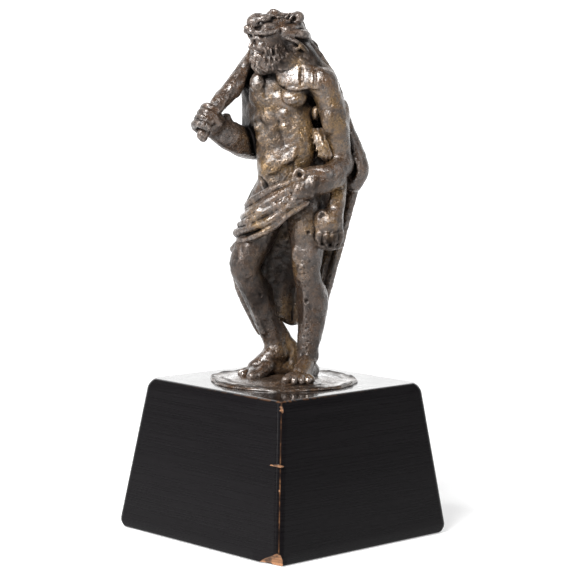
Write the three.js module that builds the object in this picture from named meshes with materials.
import * as THREE from "three";
import { mergeVertices } from "three/addons/utils/BufferGeometryUtils.js";

// Driving sizes, in millimetres
const PLINTH_TOP = 64;
const PLINTH_BASE = 77.6;
const PLINTH_HEIGHT = 49.4;
const PLINTH_CORNER = 2.6;
const PLINTH_EDGE = 0.5;
const FIGURE_GAP = 0.3;
const FIGURE_TURN = Math.PI / 4;
const FOOT_PLATE_RADIUS = 23.9;
const FOOT_PLATE_CENTRE = [-0.5, -2];
const FOOT_PLATE_TOP = 1.7;

// Fineness of the modelling grid and of the finished facets
const GRID_STEP = 0.8;
const GRID_LOW = [-33, -28, -1.4];
const GRID_HIGH = [30, 24, 123];
const FIGURE_TRIANGLES = 9500;
const EMPTY = 9;

// Limits of the facet thinning: turn and slimness allowed, and the weight of an edge's length
const LEAST_AGREEMENT = 0.25;
const LEAST_SLIMNESS = 0.06;
const LENGTH_WEIGHT = 1e-4;
const LEAST_DETERMINANT = 1e-5;

// Directions of the turned torso and of the bowed head, in the figure's own frame
const TORSO_FRONT = new THREE.Vector3(-0.47, -0.883, 0);
const TORSO_LEFT = new THREE.Vector3(0.883, -0.47, 0);
const HEAD_CENTRE = new THREE.Vector3(-6.9, -2.8, 110.6);
const HEAD_FRONT = new THREE.Vector3(-0.86, -0.46, -0.22).normalize();
const HEAD_LEFT = new THREE.Vector3(0.472, -0.882, 0).normalize();
const HEAD_UP = new THREE.Vector3().crossVectors(HEAD_FRONT, HEAD_LEFT);

const blend = (a, b, t) => a + (b - a) * t;
const clamp = (value, low, high) => Math.min(high, Math.max(low, value));
const size = (x, y, z) => Math.sqrt(x * x + y * y + z * z);

// A volume of clay: signed distances on a grid, negative inside
class Clay {
  constructor(low, high, step) {
    this.low = low;
    this.step = step;
    this.count = low.map((value, axis) => Math.ceil((high[axis] - value) / step) + 1);
    const [nx, ny, nz] = this.count;
    this.field = new Float32Array(nx * ny * nz).fill(EMPTY);
  }

  // Grid nodes that a box covers, first and last on each axis
  span(low, high, margin) {
    return this.count.map((count, axis) => [
      clamp(Math.floor((low[axis] - margin - this.low[axis]) / this.step), 0, count - 1),
      clamp(Math.ceil((high[axis] + margin - this.low[axis]) / this.step), 0, count - 1),
    ]);
  }

  // Walks the nodes near a group of shapes with the nearest distance to the group
  work(shapes, margin, change) {
    const { low, step, field } = this;
    const [nx, ny] = this.count;
    const spans = shapes.map((shape) => this.span(shape.low, shape.high, margin));
    const [xs, ys, zs] = [0, 1, 2].map((axis) => [
      Math.min(...spans.map((span) => span[axis][0])),
      Math.max(...spans.map((span) => span[axis][1])),
    ]);
    const [wide, deep] = [xs[1] - xs[0] + 1, ys[1] - ys[0] + 1];
    const values = new Float32Array(wide * deep * (zs[1] - zs[0] + 1)).fill(EMPTY);
    shapes.forEach((shape, index) => {
      const [si, sj, sk] = spans[index];
      for (let k = sk[0]; k <= sk[1]; k += 1) {
        for (let j = sj[0]; j <= sj[1]; j += 1) {
          const row = wide * (j - ys[0] + deep * (k - zs[0])) - xs[0];
          for (let i = si[0]; i <= si[1]; i += 1) {
            const distance = shape.distance(low[0] + i * step, low[1] + j * step, low[2] + k * step);
            if (distance < values[row + i]) values[row + i] = distance;
          }
        }
      }
    });
    values.forEach((value, index) => {
      if (value >= EMPTY) return;
      const i = xs[0] + (index % wide);
      const j = ys[0] + (Math.floor(index / wide) % deep);
      const k = zs[0] + Math.floor(index / (wide * deep));
      const node = i + nx * (j + ny * k);
      field[node] = change(field[node], value);
    });
  }

  // Adds a group of shapes, melting it into the rest over the soft width
  press(shapes, soft = 0.8, margin = 3) {
    this.work(shapes, margin, (here, other) => {
      const near = Math.max(soft - Math.abs(here - other), 0) / soft;
      return Math.min(here, other) - (near * near * soft) / 4;
    });
  }

  // Cuts the clay off flat below a height
  level(height) {
    const [nx, ny, nz] = this.count;
    for (let k = 0; k < nz; k += 1) {
      const below = height - (this.low[2] + k * this.step);
      const floor = nx * ny * k;
      for (let node = floor; node < floor + nx * ny; node += 1) {
        this.field[node] = Math.max(this.field[node], below);
      }
    }
  }

  // Cuts a group of shapes away
  carve(shapes, soft = 0.5, margin = 2) {
    this.work(shapes, margin, (here, value) => {
      const near = Math.max(soft - Math.abs(here + value), 0) / soft;
      return Math.max(here, -value) + (near * near * soft) / 4;
    });
  }
}

// Shapes: each has its box and its signed distance
const ball = ([x, y, z, radius]) => ({
  low: [x - radius, y - radius, z - radius],
  high: [x + radius, y + radius, z + radius],
  distance: (px, py, pz) => size(px - x, py - y, pz - z) - radius,
});

const bone = (from, to) => {
  const [ax, ay, az, ra] = from;
  const [bx, by, bz, rb] = to;
  const [dx, dy, dz] = [bx - ax, by - ay, bz - az];
  const square = dx * dx + dy * dy + dz * dz;
  return {
    low: [0, 1, 2].map((axis) => Math.min(from[axis] - ra, to[axis] - rb)),
    high: [0, 1, 2].map((axis) => Math.max(from[axis] + ra, to[axis] + rb)),
    distance: (px, py, pz) => {
      const [x, y, z] = [px - ax, py - ay, pz - az];
      const t = clamp((x * dx + y * dy + z * dz) / square, 0, 1);
      return size(x - dx * t, y - dy * t, z - dz * t) - blend(ra, rb, t);
    },
  };
};

// An egg with three radii along three axes
const egg = (centre, radii, axes) => {
  const reach = Math.max(...radii);
  const [u, v, w] = axes ?? [
    new THREE.Vector3(1, 0, 0),
    new THREE.Vector3(0, 1, 0),
    new THREE.Vector3(0, 0, 1),
  ];
  return {
    low: [centre.x - reach, centre.y - reach, centre.z - reach],
    high: [centre.x + reach, centre.y + reach, centre.z + reach],
    distance: (px, py, pz) => {
      const [x, y, z] = [px - centre.x, py - centre.y, pz - centre.z];
      const a = (x * u.x + y * u.y + z * u.z) / radii[0];
      const b = (x * v.x + y * v.y + z * v.z) / radii[1];
      const c = (x * w.x + y * w.y + z * w.z) / radii[2];
      const outer = size(a, b, c);
      const slope = size(a / radii[0], b / radii[1], c / radii[2]);
      return slope > 0 ? (outer * (outer - 1)) / slope : -Math.min(...radii);
    },
  };
};

// A limb: bones along a smooth curve through [x, y, z, radius] stations
const limb = (stations, pieces = 4) => {
  const curve = new THREE.CatmullRomCurve3(
    stations.map(([x, y, z]) => new THREE.Vector3(x, y, z)),
    false,
    "catmullrom",
    0.5,
  );
  const last = stations.length - 1;
  const total = last * pieces;
  const points = Array.from({ length: total + 1 }, (_, index) => {
    const place = (index / total) * last;
    const first = Math.min(Math.floor(place), last - 1);
    const point = curve.getPoint(index / total);
    const radius = blend(stations[first][3], stations[first + 1][3], place - first);
    return [point.x, point.y, point.z, radius];
  });
  return points.slice(1).map((point, index) => bone(points[index], point));
};

// A sheet: overlapping balls over a surface given by two numbers from 0 to 1
const sheet = (surface, rows, columns) => {
  const shapes = [];
  for (let row = 0; row <= rows; row += 1) {
    for (let column = 0; column <= columns; column += 1) {
      shapes.push(ball(surface(column / columns, row / rows)));
    }
  }
  return shapes;
};

// Smooth curve through table rows, read at any key
const table = (rows) => {
  const curve = new THREE.SplineCurve(rows.map(([key, value]) => new THREE.Vector2(key, value)));
  const points = curve.getPoints(rows.length * 8);
  return (key) => {
    const down = points[0].x > points[points.length - 1].x;
    const index = points.findIndex((point) => (down ? point.x <= key : point.x >= key));
    if (index === -1) return points[points.length - 1].y;
    if (index === 0) return points[0].y;
    const [a, b] = [points[index - 1], points[index]];
    return blend(a.y, b.y, (key - a.x) / (b.x - a.x));
  };
};

// Centre line of the torso
const spineX = table([
  [58, 0.4], [66, -0.4], [72, -1.6], [80, -2.6], [90, -2.4], [97, -0.6], [106, -1],
]);
const spineY = table([[58, 0.4], [66, 0.2], [76, 0.4], [90, 0.8], [97, 0.8], [106, 0.4]]);

const inTorso = (left, front, z) =>
  new THREE.Vector3(spineX(z), spineY(z), z)
    .addScaledVector(TORSO_LEFT, left)
    .addScaledVector(TORSO_FRONT, front);
const inHead = (front, left, up) =>
  HEAD_CENTRE.clone()
    .addScaledVector(HEAD_FRONT, front)
    .addScaledVector(HEAD_LEFT, left)
    .addScaledVector(HEAD_UP, up);
const station = (point, radius) => [point.x, point.y, point.z, radius];

const TORSO_AXES = [TORSO_LEFT, TORSO_FRONT, new THREE.Vector3(0, 0, 1)];
const HEAD_AXES = [HEAD_FRONT, HEAD_LEFT, HEAD_UP];
const torsoEgg = (left, front, z, radii) => egg(inTorso(left, front, z), radii, TORSO_AXES);
const headEgg = (front, left, up, radii) => egg(inHead(front, left, up), radii, HEAD_AXES);

function modelTorso(clay) {
  clay.press([torsoEgg(0, 0, 63, [10.2, 7.2, 9])], 1);
  clay.press([torsoEgg(0, 0.3, 73, [9.2, 6.4, 12])], 3);
  clay.press([torsoEgg(0, 0, 87, [10.4, 6.7, 14])], 4);
  clay.press([torsoEgg(0, -0.4, 96.4, [12.2, 6, 6.4])], 2);
  for (const side of [-1, 1]) {
    clay.press([torsoEgg(side * 9, -1.8, 88, [3, 4.4, 9])], 1.5);
    clay.press([torsoEgg(side * 5, 4.3, 92.8, [5.3, 2.6, 4.6])], 1.2);
    clay.press([torsoEgg(side * 6.6, 2, 69.5, [2.6, 3.6, 5])], 2);
    clay.press([torsoEgg(side * 4.6, -3.4, 60, [5, 4.2, 5.6])], 1.2);
    for (const [rib, z] of [[7.6, 84.8], [7.2, 81.2]]) {
      clay.press([torsoEgg(side * rib, 2.8, z, [2.8, 1.8, 1.7])], 1.4);
    }
    for (const z of [84.8, 80.2, 75.6]) {
      clay.press([torsoEgg(side * 2.5, 4.9, z, [2.6, 1.7, 2.5])], 1);
    }
    clay.press(limb([
      station(inTorso(side * 1.5, 4.4, 99), 1.2),
      station(inTorso(side * 6, 3.8, 100.2), 1.2),
      station(inTorso(side * 10.5, 1.6, 100.4), 1.4),
    ]), 1);
  }
  clay.press([torsoEgg(0, 4.7, 69, [5.4, 2.4, 4.6])], 1);
  clay.carve([ball(station(inTorso(0, 7.6, 72.6), 0.8))], 0.6);
  clay.press(limb([
    [0.4, 0.8, 96, 5],
    [-1.6, -0.2, 103, 4.6],
    [-4.4, -1.6, 108, 4.4],
  ]), 1.6);
  for (const side of [-1, 1]) {
    clay.press(limb([
      station(inTorso(side * 1.5, -2.4, 104), 2.6),
      station(inTorso(side * 6.5, -1.8, 100.4), 2.8),
      station(inTorso(side * 11, -1, 98.6), 2.6),
    ]), 1.6);
  }
}

// The right arm is bent up to the club, the left one down to the hip
const RIGHT_ARM = [
  [-10.6, 5.4, 96.4, 4.8],
  [-11.2, 6.2, 90, 4.2],
  [-11.3, 6.9, 82, 3.8],
  [-10.9, 6.9, 76.3, 4.0],
];
const RIGHT_FOREARM = [
  [-10.9, 6.9, 75.9, 4.1],
  [-14.6, 3, 77.1, 4.6],
  [-18.6, -2.2, 79.4, 4.4],
  [-22, -6, 82.2, 3.4],
];
const LEFT_ARM = [
  [10.8, -5.2, 96.8, 4.7],
  [13.4, -5.6, 90.4, 4.4],
  [15.5, -4.8, 82, 4.3],
  [16.4, -3.6, 75.6, 4.0],
  [16.8, -3, 71.2, 3.9],
];
const LEFT_FOREARM = [
  [16.8, -3, 71.2, 3.9],
  [15.2, -7, 68, 4.2],
  [11.8, -10.4, 66.2, 3.6],
  [8.6, -12, 65.2, 3.0],
];
const CLUB = [
  [-26.6, -10.6, 80.8, 1.9],
  [-25, -9.2, 84.6, 2.1],
  [-22.8, -6.8, 88.8, 2.6],
  [-19.2, -3, 93.4, 3],
  [-13.4, 2.6, 100.9, 3.6],
  [-9.2, 6.8, 106.6, 3.9],
  [-4.4, 10.8, 112.6, 4.3],
  [-2.6, 12.2, 114.6, 4.1],
];
const CLUB_KNOTS = [
  [-17, -2.6, 93.4, 1.6],
  [-12.4, 4.9, 101.6, 2.0],
  [-9.6, 8.9, 108.6, 2.2],
  [-5.2, 13.6, 110.8, 2.0],
  [-3.4, 12.4, 117.6, 1.8],
];

function modelArms(clay) {
  clay.press(limb(RIGHT_ARM), 2);
  clay.press([ball([-10.8, 4.6, 96.2, 4.9])], 1.2);
  clay.press([egg(new THREE.Vector3(-10, -1.2, 95.4), [2.8, 3.6, 5])], 0.8);
  clay.carve([bone([-5.4, -6.4, 101.4, 1.5], [-7.6, -5.4, 93.6, 1.1])], 0.6);
  clay.press(limb(RIGHT_FOREARM), 1);
  clay.press(limb(LEFT_ARM), 1.6);
  clay.press([ball([10.9, -5.4, 97, 4.8])], 1);
  clay.press([ball([14.9, -6.6, 84.6, 2.9])], 1);
  clay.press(limb(LEFT_FOREARM), 1);
}

function modelClub(clay) {
  clay.press(limb(CLUB), 0.5);
  clay.press([ball([-27, -11, 80, 1.9])], 0.6);
  clay.press(CLUB_KNOTS.map(ball), 1);
}

// Four fingers laid round a handle
const HAND_AXIS = [new THREE.Vector3(-26.2, -10.1, 81.8), new THREE.Vector3(-23.2, -7.2, 88)];
function modelRightHand(clay) {
  const [low, high] = HAND_AXIS;
  const axis = high.clone().sub(low).normalize();
  const out = new THREE.Vector3(-0.78, -0.62, 0);
  out.addScaledVector(axis, -out.dot(axis)).normalize();
  const side = new THREE.Vector3().crossVectors(axis, out);
  clay.press([egg(new THREE.Vector3(-24.3, -8.2, 84.6), [4.5, 4.0, 4.6])], 0.8);
  for (let finger = 0; finger < 4; finger += 1) {
    const centre = low.clone().lerp(high, 0.08 + finger * 0.28);
    const stations = [];
    for (let turn = -115; turn <= 110; turn += 45) {
      const angle = THREE.MathUtils.degToRad(turn);
      const point = centre.clone()
        .addScaledVector(out, Math.cos(angle) * 3.6)
        .addScaledVector(side, Math.sin(angle) * 3.4);
      stations.push(station(point, 1.35));
    }
    clay.press(limb(stations, 2), 0.35);
  }
}

function modelLeftHand(clay) {
  clay.press([egg(new THREE.Vector3(7.6, -12.6, 65.2), [3.6, 2.2, 2.9])], 0.8);
  for (let finger = 0; finger < 4; finger += 1) {
    const x = 9.4 - finger * 1.75;
    clay.press(limb([
      [x, -14, 66.2 - finger * 0.4, 1.2],
      [x - 1, -14.6, 63.2 - finger * 0.4, 1.1],
      [x - 1.4, -13.2, 61 - finger * 0.3, 1],
    ]), 0.4);
  }
  clay.press(limb([[7, -13, 67.2, 1.4], [5.2, -13.8, 68.2, 1.5], [3.8, -13.2, 67.4, 1.5]]), 0.5);
}

const RIGHT_LEG = [
  [-5, 1.6, 60.5, 6.6],
  [-7.8, -0.4, 52, 6.4],
  [-11, -2, 44, 5.6],
  [-12.8, -3.2, 38.2, 5],
  [-11.8, -2.2, 33.6, 4.6],
  [-8.8, -0.6, 27, 4.8],
  [-5.8, 0.8, 18.4, 4.1],
  [-3.6, 1.2, 12.4, 3.6],
  [-2.8, 1.2, 8.4, 3.6],
];
const RIGHT_HEEL_CORD = [
  [-2.6, 2.6, 17, 2.6],
  [0, 3.2, 12.6, 2.2],
  [2.2, 3.2, 9.4, 2.4],
  [2.4, 3.2, 4, 2.6],
];
const LEFT_LEG = [
  [5.2, -2.6, 60.5, 6.7],
  [6.4, -3.8, 52, 6.4],
  [6.8, -4.6, 43.6, 5.5],
  [6.7, -5.2, 36.8, 4.6],
  [7.5, -4, 32, 4.5],
  [8.9, -2.8, 26.6, 4.9],
  [8.3, -3.4, 19, 3.9],
  [7.5, -4.6, 12.4, 3.1],
  [7.5, -4.6, 8.4, 3.0],
];

function modelLegs(clay) {
  clay.press(limb(RIGHT_LEG), 1.6);
  clay.press(limb(LEFT_LEG), 1.6);
  clay.press([ball([-13.6, -5.4, 38.6, 2.9])], 1);
  clay.press([ball([5.9, -7.6, 37.2, 2.9])], 1);
  clay.press([egg(new THREE.Vector3(4.4, -7.2, 43.4), [2, 2.2, 3.6])], 1);
  clay.press([egg(new THREE.Vector3(8.4, -7.6, 45.4), [2.4, 2.4, 4.6])], 1);
  clay.press([ball([9.5, -5, 9.4, 1.4])], 0.8);
  clay.press(limb(RIGHT_HEEL_CORD), 1.2);
  clay.press([ball([-4.8, -2.4, 8.4, 1.7])], 0.8);
}

// A foot: heel, instep and five toes along a line of tips
function modelFoot(clay, { heel, instep, ankle, tips }) {
  clay.press(limb([heel, [...heel.slice(0, 2), 3, heel[3]]], 1), 0.8);
  clay.press(limb([ankle, instep[0], instep[1]]), 1.6);
  clay.press([bone(heel, instep[1])], 1.2);
  tips.forEach(([x, y, radius], index) => {
    const root = [
      blend(instep[1][0], x, 0.35),
      blend(instep[1][1], y, 0.35),
      3.0 - index * 0.2,
      radius + 0.5,
    ];
    const knuckle = [blend(root[0], x, 0.7), blend(root[1], y, 0.7), 2.9, radius];
    clay.press(limb([root, knuckle, [x, y, 2.3, radius]], 2), 0.35);
  });
}

const RIGHT_FOOT = {
  heel: [2, 3, 3.6, 2.9],
  ankle: [-3, 1, 8.8, 3.7],
  instep: [[-6.2, -1, 6.6, 3.2], [-9.4, -2.6, 4.2, 2.6]],
  tips: [[-11.4, -9, 1.5], [-13.6, -6.2, 1.2], [-14.2, -3.4, 1.15], [-14, -0.8, 1.1], [-12.8, 1.6, 1.05]],
};
const LEFT_FOOT = {
  heel: [8.4, -0.4, 3.6, 2.7],
  ankle: [7.5, -4.8, 8.4, 3.0],
  instep: [[6.5, -8.4, 6.2, 2.8], [5, -12, 3.8, 2.4]],
  tips: [[0.8, -17.2, 1.5], [3.4, -18.6, 1.2], [5.8, -18.2, 1.15], [7.8, -16.8, 1.1], [9.2, -15, 1.05]],
};

function modelHead(clay) {
  clay.press([headEgg(-1.2, 0, 1.6, [6.2, 5, 5.4])], 1);
  clay.press([headEgg(1.5, 0, -1.6, [4.4, 3.9, 5.4])], 1.2);
  clay.press(limb([
    station(inHead(4.3, -2.8, 1.1), 0.8),
    station(inHead(5.4, 0, 1.6), 0.9),
    station(inHead(4.3, 2.8, 1.1), 0.8),
  ]), 0.7);
  clay.press([bone(station(inHead(5.5, 0, 0.8), 0.7), station(inHead(7, 0, -1.3), 0.95))], 0.5);
  for (const side of [-1, 1]) {
    clay.press([ball(station(inHead(3.9, side * 2.4, -1.6), 1.4))], 0.9);
    clay.carve([ball(station(inHead(5.6, side * 1.9, 0), 1.0))], 0.5);
    clay.press([ball(station(inHead(4.4, side * 1.9, -0.1), 0.9))], 0.2);
    clay.press([bone(
      station(inHead(5.9, side * 0.5, -2.6), 0.8),
      station(inHead(4.6, side * 2.8, -4), 0.9),
    )], 0.5);
  }
}

// Beard and hair: curling locks
const lock = (start, end, sway, radius) => {
  const stations = [];
  for (let step = 0; step <= 4; step += 1) {
    const t = step / 4;
    const point = start.clone().lerp(end, t);
    const swing = Math.sin(t * Math.PI * 2) * sway;
    stations.push(station(point.addScaledVector(HEAD_FRONT, -swing).addScaledVector(HEAD_LEFT, swing),
      radius * (1 - 0.35 * t)));
  }
  return limb(stations, 2);
};

function modelHair(clay) {
  clay.press([headEgg(-2.6, 2.4, -3, [3.8, 3.4, 5.6])], 1);
  clay.press([headEgg(-2.6, -2.4, -3, [3.8, 3.4, 5.6])], 1);
  clay.press([egg(new THREE.Vector3(-2.2, -3.6, 104), [4.4, 3.4, 3.6])], 1);
  for (const side of [-1, 1]) {
    for (let row = 0; row < 5; row += 1) {
      for (let curl = 0; curl < 3; curl += 1) {
        const front = 1.6 - curl * 2.3 - (row % 2) * 0.9;
        const out = side * (4.5 + 0.5 * Math.sin(curl * 2 + row));
        clay.press([ball(station(inHead(front, out, 1.6 - row * 2.3), 1.35))], 0.4);
      }
    }
  }
}

function modelBeard(clay) {
  clay.press([headEgg(3.8, 0, -6, [3.4, 3.6, 3.6])], 1);
  clay.press([headEgg(5, 0, -8.2, [2.8, 3, 2.8])], 1);
  for (let index = 0; index < 7; index += 1) {
    const left = (index - 3) * 1.2;
    const away = Math.abs(index - 3);
    const start = inHead(5.6 - away * 0.6, left, -3.8);
    const end = inHead(7 - away * 0.9, left * 0.85, -10.6 + away * 0.7);
    clay.press(lock(start, end, index % 2 ? 0.7 : -0.7, 1.2), 0.3);
  }
  for (const side of [-1, 1]) {
    for (let index = 0; index < 4; index += 1) {
      const start = inHead(3.4 - index * 1.3, side * 3.8, -1.6 - index * 0.2);
      const end = inHead(4.2 - index * 1.7, side * 4, -9 + index * 0.2);
      clay.press(lock(start, end, 0.6, 1.25), 0.3);
    }
  }
}

// Edges of the hood's side, which falls from the temple on to the left shoulder
const curveOf = (points) => new THREE.CatmullRomCurve3(
  points.map(([x, y, z]) => new THREE.Vector3(x, y, z)),
  false,
  "catmullrom",
  0.5,
);
const FLAP_FRONT = curveOf([
  [-1, -4.6, 113.4], [2.4, -4.4, 109.8], [5, -5.2, 105.6], [8.6, -6.4, 102.8], [12.4, -6.2, 101],
]);
const FLAP_BACK = curveOf([
  [3, 0, 114.8], [4.6, 1, 111.2], [7.4, 1, 106.6], [10.4, 0, 103.2], [13, -0.6, 100.4],
]);

// The lion's scalp worn as a hood: cap, mane, ears, muzzle and brim
function modelHood(clay) {
  clay.press([egg(new THREE.Vector3(-4.6, -0.6, 112.8), [7.2, 6.2, 6], HEAD_AXES)], 0.8);
  clay.press([egg(new THREE.Vector3(0.6, 2.0, 110.6), [5.4, 5.6, 8.4])], 1.5);
  clay.press([egg(new THREE.Vector3(-10.2, -4.6, 115.7), [3.9, 3.3, 2.9], HEAD_AXES)], 0.8);
  clay.press([ball([-12.4, -5.8, 116.0, 1.3])], 0.5);
  clay.press([ball([-5.6, -1.6, 118.1, 2.2])], 0.7);
  clay.press([ball([1.8, 1.4, 118, 2.2])], 0.7);
  clay.carve([ball([-7.8, -5.2, 118.9, 1.1])], 0.6);
  const brim = [];
  for (let turn = -110; turn <= 110; turn += 20) {
    const angle = THREE.MathUtils.degToRad(turn);
    const [front, left] = [0.4 + 5.3 * Math.cos(angle), 5.1 * Math.sin(angle)];
    brim.push(station(inHead(front, left, 3 - 0.12 * Math.abs(left)), 1.25));
  }
  clay.press(limb(brim, 2), 0.5);
  const surface = (along, back) =>
    station(FLAP_FRONT.getPoint(along).lerp(FLAP_BACK.getPoint(along), back), 1.9);
  clay.press(sheet(surface, 12, 40), 0.8, 2);
}

// The skin hangs as a mantle down the back: edges and depth by height
const mantleRight = table([
  [14, 9], [20, 10.4], [25.4, 12.4], [35.5, 14.7], [45.5, 17.1], [54, 19.1],
  [62.2, 20.9], [69.4, 22.4], [76, 20.9], [82.4, 18.8], [91.4, 16.6], [97.8, 14.4],
  [104.8, 10], [109.6, 6.0], [113, 4.4],
]);
const mantleRightDepth = table([
  [14, 4.5], [30, 5], [50, 4], [62, 3], [76, 2.6], [92, 2], [105, 1.5], [113, 2],
]);
const mantleLeft = table([
  [14, -7.6], [16, -8.4], [25.4, -13], [32.5, -15.6], [40.7, -15.8], [47.2, -14.6],
  [56.7, -11.4], [66, -8], [76, -7], [90, -8], [100, -9], [108, -7], [113, -5],
]);
const mantleLeftDepth = table([
  [14, 6.5], [25, 4.5], [40, 3.5], [56, 4.5], [66, 7.4], [90, 9], [105, 8], [113, 6.5],
]);
const mantleBack = table([
  [14, 9.6], [30, 10], [50, 10.2], [66, 9.6], [78, 9.4], [92, 9.6], [104, 9.4], [113, 8],
]);
const hemHeight = (side) => 15.8 + 4 * Math.sin(side * Math.PI * 1.1) + 0.9 * Math.sin(side * 19);

const MANTLE_TOP = 113;

function modelMantle(clay) {
  const surface = (side, down) => {
    const z = blend(MANTLE_TOP, hemHeight(side), down);
    const bow = 4 * side * (1 - side);
    const x = blend(mantleLeft(z), mantleRight(z), side);
    const edge = blend(mantleLeftDepth(z), mantleRightDepth(z), side);
    const inside = clamp(Math.min(side, 1 - side) * 6, 0, 1);
    const phase = side * 21 + 2.2 * Math.sin(side * 4 + 0.6) + 1.3 * Math.sin(z * 0.055 + side * 2);
    const height = 0.6 + 0.7 * clamp((100 - z) / 70, 0, 1);
    const fold = Math.sin(phase) + 0.35 * Math.sin(phase * 2.3 + z * 0.05);
    const depth = blend(edge, mantleBack(z), Math.pow(bow, 0.6));
    return [x, depth + height * fold * inside, z, 1.5];
  };
  clay.press(sheet(surface, 150, 56), 0.9, 2);
  clay.press(limb([
    [17.8, 2.2, 88, 1.7],
    [20.6, 2.4, 80, 2.2],
    [22.9, 2.2, 73, 2.8],
    [23.5, 1.8, 68.4, 2.9],
    [21.2, 0.8, 65.4, 2.4],
  ]), 0.8);
}

// The skin is drawn round the right hip in diagonal folds to the left hand
const APRON_TOP = curveOf([
  [6.4, -12, 65.6], [1.7, -10.4, 64.6], [-2.1, -9.4, 62.8], [-6.9, -7.6, 60.6],
  [-10.6, -4.6, 57.6], [-12.2, -0.5, 56.4], [-11.6, 4.5, 57], [-8.8, 7.6, 58],
]);
const APRON_HEM = curveOf([
  [6.4, -12.4, 61], [2.6, -11.4, 58.4], [-2, -9.8, 54], [-7.7, -8.4, 48.8],
  [-12.4, -7, 44.6], [-16.2, -3, 42.4], [-16.2, 3.4, 41], [-12.4, 8, 41],
]);

function modelApron(clay) {
  const middle = new THREE.Vector3(-3.6, 1, 0);
  const surface = (along, down) => {
    const point = APRON_TOP.getPoint(along).lerp(APRON_HEM.getPoint(along), down);
    const out = new THREE.Vector3(point.x - middle.x, point.y - middle.y, 0).normalize();
    const phase = down * 13 + along * 2.6 + Math.sin(along * 5) * 0.7;
    const swell = Math.sin(down * Math.PI) * 0.6 + Math.cos(phase) * 0.8;
    point.addScaledVector(out, swell * clamp(along * 5, 0.3, 1) - 0.3);
    return station(point, 1.15);
  };
  clay.press(sheet(surface, 40, 80), 0.7, 2);
  clay.press(limb([[-9.4, 3.4, 63.8, 1.4], [-11.2, 3.6, 60, 1.7], [-12.4, 3.2, 56, 2]]), 0.8);
}

// A foreleg of the skin falls from the left forearm and ends in a paw
function modelPaw(clay) {
  clay.press(limb([
    [16.4, -4.6, 66, 3],
    [16.2, -6, 61, 2.6],
    [15.4, -7.2, 56.6, 3],
    [14.4, -8, 52, 3.8],
  ]), 0.8);
  clay.press([egg(new THREE.Vector3(14.1, -8.4, 51), [4.5, 3.7, 4.8])], 1);
  for (const [x, y, z] of [[11.2, -9, 48.2], [13, -10.8, 47.4], [15.3, -10.8, 47.4], [17, -9.2, 48.2]]) {
    clay.press([egg(new THREE.Vector3(x, y, z), [1.6, 1.8, 2.2])], 0.5);
    clay.press([bone([x, y - 0.6, z - 1.6, 0.9], [x, y + 0.2, z - 3, 0.6])], 0.4);
  }
}

// The thin cast plate under the feet: roughly round, with an uneven rim and top
function modelFootPlate(clay) {
  const [x0, y0] = FOOT_PLATE_CENTRE;
  const reach = FOOT_PLATE_RADIUS + 1;
  clay.press([{
    low: [x0 - reach, y0 - reach, FIGURE_GAP],
    high: [x0 + reach, y0 + reach, FOOT_PLATE_TOP],
    distance: (x, y, z) => {
      const turn = Math.atan2(y - y0, x - x0);
      const rim = FOOT_PLATE_RADIUS + 0.4 * Math.sin(turn * 3 + 1) + 0.25 * Math.sin(turn * 7);
      const top = FOOT_PLATE_TOP + 0.16 * Math.sin(x * 0.7 + 1.5) * Math.cos(y * 0.55);
      return Math.max(size(x - x0, y - y0, 0) - rim, z - top);
    },
  }], 0.8, 2);
}

function modelFigure() {
  const clay = new Clay(GRID_LOW, GRID_HIGH, GRID_STEP);
  modelTorso(clay);
  modelLegs(clay);
  modelFoot(clay, RIGHT_FOOT);
  modelFoot(clay, LEFT_FOOT);
  modelArms(clay);
  modelMantle(clay);
  modelClub(clay);
  modelHead(clay);
  modelHair(clay);
  modelBeard(clay);
  modelHood(clay);
  modelApron(clay);
  modelPaw(clay);
  modelRightHand(clay);
  modelLeftHand(clay);
  modelFootPlate(clay);
  clay.level(FIGURE_GAP);
  return clay;
}

// Normal of a triangle, as long as twice its area
function across(p, q, r) {
  const [ux, uy, uz] = [q[0] - p[0], q[1] - p[1], q[2] - p[2]];
  const [vx, vy, vz] = [r[0] - p[0], r[1] - p[1], r[2] - p[2]];
  return [uy * vz - uz * vy, uz * vx - ux * vz, ux * vy - uy * vx];
}

// Skin of the clay: every grid cell is split into six tetrahedra that share a diagonal
const CELL_PATHS = [[1, 3, 7], [1, 5, 7], [2, 3, 7], [2, 6, 7], [4, 5, 7], [4, 6, 7]];

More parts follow.
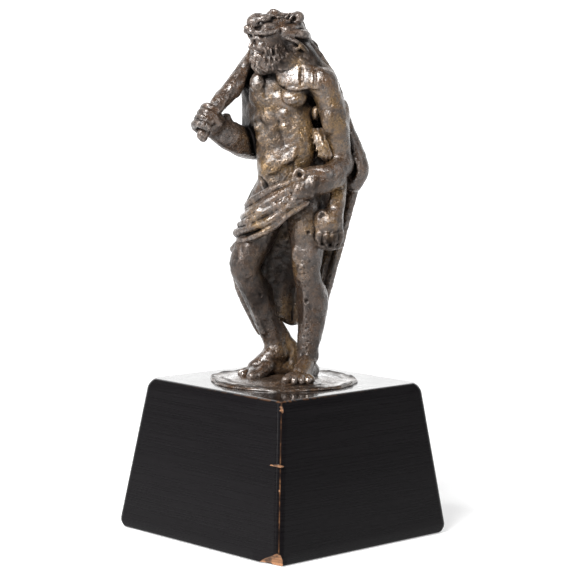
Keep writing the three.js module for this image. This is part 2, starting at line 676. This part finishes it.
function skinOf(clay) {
  const [nx, ny, nz] = clay.count;
  const { field, low, step } = clay;
  const nudge = step * 0.02;
  for (let node = 0; node < field.length; node += 1) {
    if (Math.abs(field[node]) < nudge) field[node] = field[node] < 0 ? -nudge : nudge;
  }
  const offset = (corner) => (corner & 1) + nx * (((corner >> 1) & 1) + ny * ((corner >> 2) & 1));
  const offsets = [0, 1, 2, 3, 4, 5, 6, 7].map(offset);
  const points = [];
  const faces = [];
  const known = new Map();
  const place = (node) => {
    const i = node % nx;
    const j = Math.floor(node / nx) % ny;
    const k = Math.floor(node / (nx * ny));
    return [low[0] + i * step, low[1] + j * step, low[2] + k * step];
  };
  const crossing = (first, second) => {
    const [a, b] = first < second ? [first, second] : [second, first];
    const key = a * 8 + offsets.indexOf(b - a);
    if (!known.has(key)) {
      const t = clamp(field[a] / (field[a] - field[b]), 0.06, 0.94);
      const [start, end] = [place(a), place(b)];
      known.set(key, points.length / 3);
      points.push(...start.map((value, axis) => blend(value, end[axis], t)));
    }
    return known.get(key);
  };
  // Orders a triangle so that it faces away from the given inside node
  const face = (a, b, c, inner) => {
    const [p, q, r] = [a, b, c].map((vertex) => points.slice(vertex * 3, vertex * 3 + 3));
    const normal = across(p, q, r);
    const [x, y, z] = place(inner);
    const side = normal[0] * (x - p[0]) + normal[1] * (y - p[1]) + normal[2] * (z - p[2]);
    faces.push(...(side > 0 ? [a, c, b] : [a, b, c]));
  };
  const tetrahedron = (nodes) => {
    const inside = nodes.filter((node) => field[node] < 0);
    const outside = nodes.filter((node) => field[node] >= 0);
    if (!inside.length || !outside.length) return;
    if (inside.length === 1) {
      const [a, b, c] = outside.map((node) => crossing(inside[0], node));
      face(a, b, c, inside[0]);
    } else if (outside.length === 1) {
      const [a, b, c] = inside.map((node) => crossing(node, outside[0]));
      face(a, b, c, inside[0]);
    } else {
      const a = crossing(inside[0], outside[0]);
      const b = crossing(inside[0], outside[1]);
      const c = crossing(inside[1], outside[1]);
      const d = crossing(inside[1], outside[0]);
      face(a, b, c, inside[0]);
      face(a, c, d, inside[1]);
    }
  };
  for (let k = 0; k < nz - 1; k += 1) {
    for (let j = 0; j < ny - 1; j += 1) {
      for (let i = 0; i < nx - 1; i += 1) {
        const node = i + nx * (j + ny * k);
        let below = 0;
        for (const shift of offsets) if (field[node + shift] < 0) below += 1;
        if (below === 0 || below === 8) continue;
        for (const path of CELL_PATHS) {
          tetrahedron([node, ...path.map((corner) => node + offsets[corner])]);
        }
      }
    }
  }
  return { points, faces };
}

// Binary heap of edges, cheapest first
class Queue {
  constructor() {
    this.items = [];
  }

  add(item) {
    const { items } = this;
    let index = items.length;
    items.push(item);
    while (index > 0) {
      const parent = (index - 1) >> 1;
      if (items[parent].cost <= item.cost) break;
      items[index] = items[parent];
      index = parent;
    }
    items[index] = item;
  }

  take() {
    const { items } = this;
    const first = items[0];
    const item = items.pop();
    if (!items.length) return first;
    let index = 0;
    for (;;) {
      let child = index * 2 + 1;
      if (child >= items.length) break;
      if (child + 1 < items.length && items[child + 1].cost < items[child].cost) child += 1;
      if (items[child].cost >= item.cost) break;
      items[index] = items[child];
      index = child;
    }
    items[index] = item;
    return first;
  }
}

// Joins edges of least change until the wanted number of triangles is left
function lighten({ points, faces }, target) {
  const vertexCount = points.length / 3;
  const fans = Array.from({ length: vertexCount }, () => []);
  const quadrics = new Float64Array(vertexCount * 10);
  const age = new Int32Array(vertexCount);
  const faceCount = faces.length / 3;
  const gone = new Uint8Array(faceCount);
  const corner = (face, index) => faces[face * 3 + index];
  const at = (vertex) => [points[vertex * 3], points[vertex * 3 + 1], points[vertex * 3 + 2]];
  for (let face = 0; face < faceCount; face += 1) {
    const [a, b, c] = [corner(face, 0), corner(face, 1), corner(face, 2)];
    const normal = across(at(a), at(b), at(c));
    const area = size(...normal) || 1e-12;
    const [x, y, z] = normal.map((value) => value / area);
    const [px, py, pz] = at(a);
    const w = -(x * px + y * py + z * pz);
    const terms = [x * x, x * y, x * z, x * w, y * y, y * z, y * w, z * z, z * w, w * w];
    for (const vertex of [a, b, c]) {
      fans[vertex].push(face);
      terms.forEach((term, index) => {
        quadrics[vertex * 10 + index] += term * area;
      });
    }
  }
  const costAt = (q, [x, y, z]) =>
    q[0] * x * x + 2 * q[1] * x * y + 2 * q[2] * x * z + 2 * q[3] * x
    + q[4] * y * y + 2 * q[5] * y * z + 2 * q[6] * y
    + q[7] * z * z + 2 * q[8] * z + q[9];
  const queue = new Queue();
  const q = new Float64Array(10);
  const system = new THREE.Matrix3();
  const solution = new THREE.Vector3();
  const offer = (a, b) => {
    for (let index = 0; index < 10; index += 1) {
      q[index] = quadrics[a * 10 + index] + quadrics[b * 10 + index];
    }
    const [p, r] = [at(a), at(b)];
    const choices = [p, r, p.map((value, axis) => (value + r[axis]) / 2)];
    system.set(q[0], q[1], q[2], q[1], q[4], q[5], q[2], q[5], q[7]);
    const scale = Math.pow(q[0] + q[4] + q[7], 3);
    if (Math.abs(system.determinant()) > scale * LEAST_DETERMINANT) {
      const best = solution.set(-q[3], -q[6], -q[8]).applyMatrix3(system.invert()).toArray();
      const reach = size(p[0] - r[0], p[1] - r[1], p[2] - r[2]);
      const middle = choices[2];
      const far = size(best[0] - middle[0], best[1] - middle[1], best[2] - middle[2]);
      if (far < reach) choices.push(best);
    }
    let cost = Infinity;
    let spot = p;
    for (const choice of choices) {
      const value = costAt(q, choice);
      if (value < cost) {
        cost = value;
        spot = choice;
      }
    }
    const length = (p[0] - r[0]) ** 2 + (p[1] - r[1]) ** 2 + (p[2] - r[2]) ** 2;
    cost = Math.max(cost, 0) + length * LENGTH_WEIGHT;
    queue.add({ cost, a, b, ageA: age[a], ageB: age[b], spot });
  };
  const neighbours = (vertex) => {
    const found = new Set();
    for (const face of fans[vertex]) {
      for (let index = 0; index < 3; index += 1) found.add(corner(face, index));
    }
    found.delete(vertex);
    return found;
  };
  for (let face = 0; face < faceCount; face += 1) {
    for (let index = 0; index < 3; index += 1) {
      const [a, b] = [corner(face, index), corner(face, (index + 1) % 3)];
      if (a < b) offer(a, b);
    }
  }
  // True if moving a vertex of these faces to the spot would turn one of them over
  const turnsOver = (vertex, other, spot) => fans[vertex].some((face) => {
    const ring = [corner(face, 0), corner(face, 1), corner(face, 2)];
    if (ring.includes(other)) return false;
    const before = across(...ring.map(at));
    const after = across(...ring.map((item) => (item === vertex ? spot : at(item))));
    const dot = before[0] * after[0] + before[1] * after[1] + before[2] * after[2];
    const area = size(...after);
    if (dot <= LEAST_AGREEMENT * size(...before) * area) return true;
    const longest = Math.max(...ring.map((item, index) => {
      const from = item === vertex ? spot : at(item);
      const next = ring[(index + 1) % 3];
      const to = next === vertex ? spot : at(next);
      return size(from[0] - to[0], from[1] - to[1], from[2] - to[2]);
    }));
    return area < LEAST_SLIMNESS * longest * longest;
  });
  let left = faceCount;
  while (left > target && queue.items.length) {
    const { a, b, ageA, ageB, spot } = queue.take();
    if (age[a] !== ageA || age[b] !== ageB || !fans[a].length || !fans[b].length) continue;
    const around = neighbours(a);
    const shared = [...neighbours(b)].filter((vertex) => around.has(vertex));
    if (shared.length !== 2) continue;
    if (turnsOver(a, b, spot) || turnsOver(b, a, spot)) continue;
    for (const face of fans[b]) {
      const ring = [corner(face, 0), corner(face, 1), corner(face, 2)];
      if (ring.includes(a)) {
        gone[face] = 1;
        left -= 1;
      } else {
        faces[face * 3 + ring.indexOf(b)] = a;
        fans[a].push(face);
      }
    }
    fans[b] = [];
    for (const vertex of [a, ...shared]) fans[vertex] = fans[vertex].filter((face) => !gone[face]);
    for (let axis = 0; axis < 3; axis += 1) points[a * 3 + axis] = spot[axis];
    for (let index = 0; index < 10; index += 1) quadrics[a * 10 + index] += quadrics[b * 10 + index];
    age[a] += 1;
    for (const vertex of neighbours(a)) offer(a, vertex);
  }
  const names = new Map();
  const kept = [];
  const list = [];
  for (let face = 0; face < faceCount; face += 1) {
    if (gone[face]) continue;
    for (let index = 0; index < 3; index += 1) {
      const vertex = corner(face, index);
      if (!names.has(vertex)) {
        names.set(vertex, kept.length / 3);
        kept.push(...at(vertex));
      }
      list.push(names.get(vertex));
    }
  }
  return { points: kept, faces: list };
}

function geometryOf({ points, faces }) {
  const geometry = new THREE.BufferGeometry();
  geometry.setAttribute("position", new THREE.Float32BufferAttribute(points, 3));
  geometry.setIndex(faces);
  geometry.computeVertexNormals();
  return geometry;
}

// The plinth: a square block with rounded corners, drawn in towards the top
function plinthGeometry() {
  const half = 0.5 - PLINTH_EDGE / PLINTH_BASE;
  const side = half * PLINTH_BASE;
  const radius = PLINTH_CORNER;
  const outline = new THREE.Shape();
  outline.moveTo(-side + radius, -side);
  outline.lineTo(side - radius, -side);
  outline.absarc(side - radius, -side + radius, radius, -Math.PI / 2, 0);
  outline.absarc(side - radius, side - radius, radius, 0, Math.PI / 2);
  outline.absarc(-side + radius, side - radius, radius, Math.PI / 2, Math.PI);
  outline.absarc(-side + radius, -side + radius, radius, Math.PI, Math.PI * 1.5);
  const block = new THREE.ExtrudeGeometry(outline, {
    depth: PLINTH_HEIGHT - 2 * PLINTH_EDGE,
    bevelEnabled: true,
    bevelThickness: PLINTH_EDGE,
    bevelSize: PLINTH_EDGE,
    bevelSegments: 1,
    curveSegments: 5,
  });
  block.translate(0, 0, PLINTH_EDGE);
  block.deleteAttribute("uv");
  block.deleteAttribute("normal");
  const geometry = mergeVertices(block, 1e-4);
  const position = geometry.getAttribute("position");
  for (let index = 0; index < position.count; index += 1) {
    const scale = blend(1, PLINTH_TOP / PLINTH_BASE, position.getZ(index) / PLINTH_HEIGHT);
    position.setX(index, position.getX(index) * scale);
    position.setY(index, position.getY(index) * scale);
  }
  geometry.computeVertexNormals();
  return geometry;
}

const bronze = new THREE.MeshStandardMaterial({ color: 0x5a4a38, metalness: 1, roughness: 0.42 });
const blackWood = new THREE.MeshStandardMaterial({ color: 0x17151a, metalness: 0, roughness: 0.38 });

const figure = new THREE.Mesh(geometryOf(lighten(skinOf(modelFigure()), FIGURE_TRIANGLES)), bronze);
figure.name = "bronze_figure";
figure.rotation.z = FIGURE_TURN;
figure.position.z = PLINTH_HEIGHT;

const plinth = new THREE.Mesh(plinthGeometry(), blackWood);
plinth.name = "wooden_plinth";

const root = new THREE.Group();
root.name = "statuette";
root.add(figure, plinth);

export default root;
